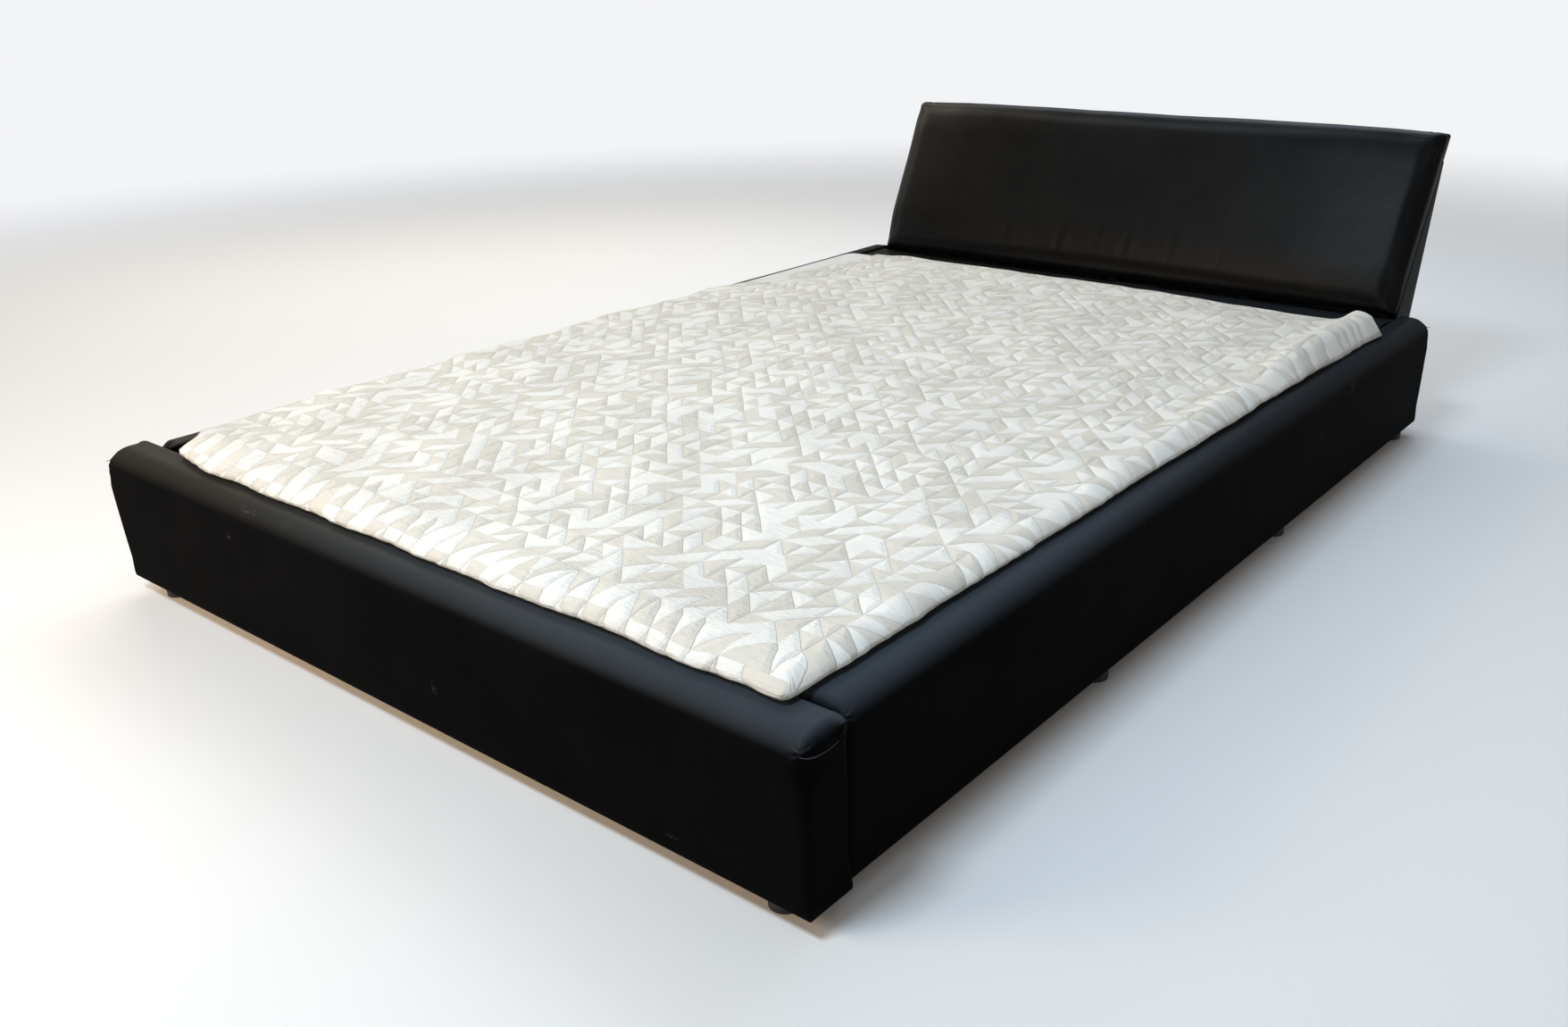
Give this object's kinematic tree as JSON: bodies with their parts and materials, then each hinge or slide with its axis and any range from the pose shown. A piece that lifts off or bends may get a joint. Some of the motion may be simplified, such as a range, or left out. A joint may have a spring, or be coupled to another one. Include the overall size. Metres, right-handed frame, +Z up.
{
  "type": "sleigh bed",
  "caption": "Low upholstered platform bed frame with a leaning padded headboard, a slatted base and a lift-out mattress under a quilted cover.",
  "frame": {"origin": "on the floor under the middle of the bed's overall box", "axes": "+Z up, +Y towards the head end along the bed's length, +X to the right side seen from the foot"},
  "size_m": [1.716, 2.5, 0.6838],
  "materials": {
    "black_leathercloth": "satin black grained leathercloth",
    "upholstery_foam": "open-cell foam",
    "particle_board": "raw particle board",
    "plywood": "raw plywood",
    "pine": "planed softwood",
    "slat_wood": "planed softwood slats",
    "lining_cloth": "black non-woven lining",
    "foot_plastic": "moulded black",
    "bracket_steel": "black powder coat",
    "zinc_hardware": "zinc plated",
    "mattress_filling": "foam and springs, closed inside the ticking",
    "ticking_cloth": "woven white ticking",
    "quilt_cotton": "quilted crinkle cotton with a printed patchwork of pale triangles"
  },
  "bodies": {
    "frame": {"beam_hangers": "bracket_steel", "centre_beam": "pine", "centre_legs": "foot_plastic", "cleat_screws": "zinc_hardware", "corner_brackets": "bracket_steel", "feet": "foot_plastic", "footboard_battens": "pine", "footboard_cover": "black_leathercloth", "footboard_foam": "upholstery_foam", "footboard_inner_board": "particle_board", "footboard_outer_board": "particle_board", "footboard_ribs": "pine", "frame_bolts": "zinc_hardware", "head_rail_battens": "pine", "head_rail_cover": "black_leathercloth", "head_rail_foam": "upholstery_foam", "head_rail_inner_board": "particle_board", "head_rail_outer_board": "particle_board", "head_rail_ribs": "pine", "headboard_back_cloth": "lining_cloth", "headboard_bottom_rail": "pine", "headboard_cover": "black_leathercloth", "headboard_foam": "upholstery_foam", "headboard_left_cover": "black_leathercloth", "headboard_left_frame": "plywood", "headboard_panel": "plywood", "headboard_right_cover": "black_leathercloth", "headboard_right_frame": "plywood", "headboard_studs": "plywood", "headboard_top_rail": "pine", "left_cleat": "pine", "left_rail_battens": "pine", "left_rail_cover": "black_leathercloth", "left_rail_foam": "upholstery_foam", "left_rail_inner_board": "particle_board", "left_rail_outer_board": "particle_board", "left_rail_ribs": "pine", "right_cleat": "pine", "right_rail_battens": "pine", "right_rail_cover": "black_leathercloth", "right_rail_foam": "upholstery_foam", "right_rail_inner_board": "particle_board", "right_rail_outer_board": "particle_board", "right_rail_ribs": "pine", "slat_01": "slat_wood", "slat_02": "slat_wood", "slat_03": "slat_wood", "slat_04": "slat_wood", "slat_05": "slat_wood", "slat_06": "slat_wood", "slat_07": "slat_wood", "slat_08": "slat_wood", "slat_09": "slat_wood", "slat_10": "slat_wood", "slat_11": "slat_wood", "slat_screws": "zinc_hardware"},
    "mattress": {"mattress_core": "mattress_filling", "mattress_ticking": "ticking_cloth", "quilted_cover": "quilt_cotton"}
  },
  "joints": [
    {"name": "mattress_lift", "type": "slide", "parent": "frame", "child": "mattress", "axis": [0, 0, 1], "range_m": [0, 0.4]}
  ]
}
